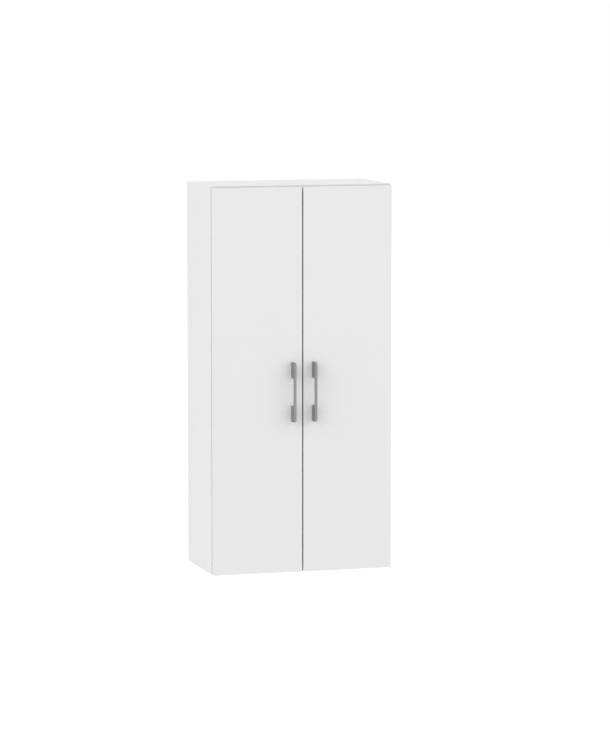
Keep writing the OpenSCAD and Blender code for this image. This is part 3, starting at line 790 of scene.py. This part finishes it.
def arc(y, z, radius, start, stop, steps=8):
    """Points of an arc in the Y-Z plane, from one angle to the other in degrees."""
    turns = [math.radians(start + (stop - start) * i / steps) for i in range(steps + 1)]
    return [(y + radius * math.cos(a), z + radius * math.sin(a)) for a in turns]


class CABINET_OT_hinges(bpy.types.Operator):
    """Finish the concealed hinges in bright nickel with broken edges"""
    bl_idname = "cabinet.hinges"
    bl_label = "Hinges"

    def execute(self, context):
        width = context.scene.cabinet_sizes.metal_round
        for side in SIDES:
            for part, body, breadth in (
                    ("hinge_cups", side + "_door", width),
                    ("inner_links", side + "_inner_link", width * 0.6),
                    ("outer_links", side + "_outer_link", width * 0.6),
                    ("hinge_arms", CARCASS, width),
                    ("mounting_plates", CARCASS, width)):
                node = f"{side}_{part}"
                mesh = softened(node, node + "_plated", breadth)
                add_piece(mesh, node + "_plated", body, [node], nickel())
            for part in ("cup_pins", "link_pins"):
                dress(f"{side}_{part}", nickel())
        dress("arm_pins", nickel())
        return {"FINISHED"}


class CABINET_OT_screws(bpy.types.Operator):
    """Drive the hinge, handle and hanger screws, with threads and cross recesses"""
    bl_idname = "cabinet.screws"
    bl_label = "Screws"

    def execute(self, context):
        wood = {"Thread Height": 0.35 * MM, "Thread Pitch": 2.2 * MM}
        machine = {"Thread Height": 0.15 * MM, "Thread Pitch": 0.7 * MM}
        screws("plate_screws", CARCASS, out_of_side, {
            **wood, "Head Radius": 3.8 * MM, "Head Height": 1.8 * MM, "Shank Radius": 2.1 * MM,
            "Shank Length": 12.3 * MM, "Recess Width": 0.95 * MM, "Recess Depth": 1.1 * MM})
        screws("hanger_screws", CARCASS, out_of_side, {
            **wood, "Head Radius": 3.6 * MM, "Head Height": 2 * MM, "Shank Radius": 1.55 * MM,
            "Shank Length": 27.8 * MM, "Recess Width": 0.8 * MM, "Recess Depth": 1.0 * MM})
        screws("adjusting_screws", CARCASS, towards_room, {
            **machine, "Head Radius": 4 * MM, "Head Height": 1.6 * MM, "Shank Radius": 2.3 * MM,
            "Shank Length": 9.9 * MM, "Recess Width": 1.0 * MM, "Recess Depth": 0.9 * MM})
        dress("arm_screws", screw_zinc())
        for side in SIDES:
            screws(side + "_cup_screws", side + "_door", out_of_door, {
                **wood, "Thread Pitch": 1.6 * MM, "Thread Height": 0.25 * MM,
                "Head Radius": 3.2 * MM, "Head Height": 0.7 * MM, "Shank Radius": 1.2 * MM,
                "Shank Length": 10.9 * MM, "Recess Width": 0.7 * MM, "Recess Depth": 0.5 * MM})
            screws(side + "_handle_screws", side + "_door", out_of_door, {
                **machine, "Head Radius": 4 * MM, "Head Height": 2.4 * MM,
                "Shank Radius": 1.85 * MM, "Shank Length": 25.9 * MM,
                "Recess Width": 0.9 * MM, "Recess Depth": 1.4 * MM})
        return {"FINISHED"}


class CABINET_OT_fittings(bpy.types.Operator):
    """Finish the cams, cam bolts, dowels, shelf pins and door stops"""
    bl_idname = "cabinet.fittings"
    bl_label = "Fittings"

    def execute(self, context):
        width = context.scene.cabinet_sizes.metal_round
        add_piece(softened("cam_locks", "cam_locks_cast", width), "cam_locks_cast", CARCASS,
                  ["cam_locks"], cast_zinc())
        add_piece(softened("shelf_pins", "shelf_pins_turned", width), "shelf_pins_turned", CARCASS,
                  ["shelf_pins"], screw_zinc())
        dress("cam_bolts", screw_zinc())
        dress("dowels", beech_dowel("beech_dowel"))
        stop = clear_polyurethane("clear_polyurethane")
        for side in SIDES:
            node = side + "_bumpers"
            mesh = softened(node, node + "_cast", STOP_ROUND, 3)
            add_piece(mesh, node + "_cast", side + "_door", [node], stop)
        return {"FINISHED"}


class CABINET_OT_hanging(bpy.types.Operator):
    """Finish the hangers, their covers, the hooks and the wall rail"""
    bl_idname = "cabinet.hanging"
    bl_label = "Wall hanging"

    def execute(self, context):
        sizes = context.scene.cabinet_sizes
        plastic = moulded_polypropylene("moulded_polypropylene",
                                        tuple(context.scene.cabinet_finishes.moulding))
        zinc_strip = galvanised_strip("galvanised_strip")
        access = self.access_holes()
        for node in ("left_hanger", "right_hanger", "left_hanger_cover", "right_hanger_cover"):
            mesh = softened(node, node + "_moulded", sizes.moulding_round, 3,
                            access if node.endswith("cover") else None)
            add_piece(mesh, node + "_moulded", CARCASS, [node], plastic)
        bpy.data.objects.remove(access)
        for node in ("left_hook", "right_hook", "wall_rail"):
            mesh = softened(node, node + "_stamped", sizes.metal_round)
            add_piece(mesh, node + "_stamped", "wall_hanging", [node],
                      zinc_strip)
        return {"FINISHED"}

    def access_holes(self):
        """Rods ahead of the adjusting screws, where the covers let a screwdriver through."""
        work = bmesh.new()
        for low, high in islands("adjusting_screws"):
            middle = (low + high) / 2
            place = Matrix.Translation((middle.x, low.y - ACCESS_AHEAD, middle.z)) @ \
                Matrix.Rotation(math.radians(90), 4, "X")
            bmesh.ops.create_cone(work, cap_ends=True, segments=40, radius1=ACCESS_RADIUS,
                                  radius2=ACCESS_RADIUS, depth=ACCESS_DEPTH, matrix=place)
        return linked("access_holes", mesh_of(work, "access_holes"))


class CABINET_OT_stage(bpy.types.Operator):
    """Set out the camera, a pale floor and soft, even studio light"""
    bl_idname = "cabinet.stage"
    bl_label = "Camera, floor and light"

    def execute(self, context):
        view = context.scene.cabinet_view
        self.camera(context, view)
        self.floor(view.floor_drop)
        self.light(context, view.softbox_power)
        context.scene.view_settings.view_transform = "Standard"
        return {"FINISHED"}

    def camera(self, context, view):
        """A long lens, aimed at the plane of the carcass's front edging."""
        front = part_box("left_side")[0].y - 1 * MM
        target = Vector((AIM_X, front, AIM_Z))
        back = Vector((math.sin(view.turn) * math.cos(view.tilt),
                       -math.cos(view.turn) * math.cos(view.tilt), math.sin(view.tilt)))
        data = bpy.data.cameras.new("cabinet_camera")
        data.lens = view.lens
        data.sensor_width = SENSOR_WIDTH
        data.clip_end = 100
        camera = linked("cabinet_camera", data)
        camera.matrix_world = Matrix.Translation(target + back * view.distance) @ \
            back.to_track_quat("Z", "Y").to_matrix().to_4x4()
        context.scene.camera = camera

    def white_rays(self, tree):
        """1 for the rays that meet a white room: seen directly, in gloss or through glass."""
        path = put(tree, "ShaderNodeLightPath").outputs
        either = put(tree, "ShaderNodeMath", {0: path["Is Camera Ray"], 1: path["Is Glossy Ray"]},
                     operation="MAXIMUM")
        return put(tree, "ShaderNodeMath", {0: either.outputs[0],
                                            1: path["Is Transmission Ray"]},
                   operation="MAXIMUM").outputs[0]

    def floor(self, drop):
        """A wide pale floor that keeps the cabinet's soft shadow."""
        mesh = bpy.data.meshes.new("studio_floor")
        half = FLOOR_HALF_WIDTH
        mesh.from_pydata([(-half, -half, -drop), (half, -half, -drop), (half, half, -drop),
                          (-half, half, -drop)], [], [(0, 1, 2, 3)])
        floor = linked("studio_floor", mesh)
        material, tree = blank_material("pale_floor")
        matte = put(tree, "ShaderNodeBsdfDiffuse", {"Color": (*linear("#EDEDED"), 1)})
        lift = put(tree, "ShaderNodeEmission", {"Color": (1, 1, 1, 1), "Strength": FLOOR_LIFT})
        both = put(tree, "ShaderNodeAddShader", {0: matte.outputs[0], 1: lift.outputs[0]})
        mixed = put(tree, "ShaderNodeMixShader", {
            "Fac": self.white_rays(tree), 1: matte.outputs[0], 2: both.outputs[0]})
        # its underside lets a view from below through to the cabinet
        under = put(tree, "ShaderNodeNewGeometry").outputs["Backfacing"]
        clear = put(tree, "ShaderNodeBsdfTransparent")
        sheet = put(tree, "ShaderNodeMixShader", {"Fac": under, 1: mixed.outputs[0],
                                                  2: clear.outputs[0]})
        put(tree, "ShaderNodeOutputMaterial", {"Surface": sheet.outputs[0]})
        mesh.materials.append(material)

    def light(self, context, power):
        """An even white room, and a wide softbox on either side of the camera."""
        world = bpy.data.worlds.new("studio_world")
        world.use_nodes = True
        context.scene.world = world
        tree = world.node_tree
        tree.nodes.clear()
        room = put(tree, "ShaderNodeBackground", {"Color": (1, 1, 1, 1),
                                                  "Strength": ROOM_STRENGTH})
        white = put(tree, "ShaderNodeBackground", {"Color": (1, 1, 1, 1), "Strength": 1.0})
        mixed = put(tree, "ShaderNodeMixShader", {
            "Fac": self.white_rays(tree), 1: room.outputs[0], 2: white.outputs[0]})
        put(tree, "ShaderNodeOutputWorld", {"Surface": mixed.outputs[0]})
        middle = (CAD_BOX[0] + CAD_BOX[1]) / 2
        across, ahead, up = SOFTBOX_WAY
        for name, turn in (("softbox_left", -1), ("softbox_right", 1)):
            lamp = bpy.data.lights.new(name, "AREA")
            lamp.size, lamp.energy = SOFTBOX_SIZE, power
            way = Vector((turn * across, ahead, up)).normalized()
            linked(name, lamp).matrix_world = Matrix.Translation(
                middle + way * SOFTBOX_REACH) @ way.to_track_quat("Z", "Y").to_matrix().to_4x4()


class CABINET_PT_panel(bpy.types.Panel):
    """Lists the cabinet's settings and the steps that build it"""
    bl_idname = "CABINET_PT_panel"
    bl_label = "Wall Cabinet"
    bl_space_type = "VIEW_3D"
    bl_region_type = "UI"
    bl_category = "Wall Cabinet"

    def draw(self, context):
        layout = self.layout
        for group, names in (
                (context.scene.cabinet_finishes, ("board", "door_edging", "carcass_edging_painted_shade",
                                                   "handle", "moulding")),
                (context.scene.cabinet_sizes, ("handle_round", "handle_corner", "grip_thickness",
                                               "metal_round", "moulding_round")),
                (context.scene.cabinet_view, ("turn", "tilt", "distance", "lens", "floor_drop",
                                              "softbox_power"))):
            box = layout.box()
            for name in names:
                box.prop(group, name)
        for step in STEPS:
            layout.operator(step.bl_idname)


STEPS = (CABINET_OT_boards, CABINET_OT_edging, CABINET_OT_handles, CABINET_OT_hinges,
         CABINET_OT_screws, CABINET_OT_fittings, CABINET_OT_hanging, CABINET_OT_stage)
GROUPS = {"cabinet_finishes": CabinetFinishes, "cabinet_sizes": CabinetSizes,
          "cabinet_view": CabinetView}


def register():
    for group in GROUPS.values():
        bpy.utils.register_class(group)
    for name, group in GROUPS.items():
        setattr(bpy.types.Scene, name, bpy.props.PointerProperty(type=group))
    for step in STEPS:
        bpy.utils.register_class(step)
    bpy.utils.register_class(CABINET_PT_panel)


def unregister():
    bpy.utils.unregister_class(CABINET_PT_panel)
    for step in reversed(STEPS):
        bpy.utils.unregister_class(step)
    for name in GROUPS:
        delattr(bpy.types.Scene, name)
    for group in reversed(list(GROUPS.values())):
        bpy.utils.unregister_class(group)


def main():
    """Builds the cabinet step by step."""
    register()
    bpy.ops.cabinet.boards()
    bpy.ops.cabinet.edging()
    bpy.ops.cabinet.handles()
    bpy.ops.cabinet.hinges()
    bpy.ops.cabinet.screws()
    bpy.ops.cabinet.fittings()
    bpy.ops.cabinet.hanging()
    bpy.ops.cabinet.stage()


if __name__ == "__main__":
    main()
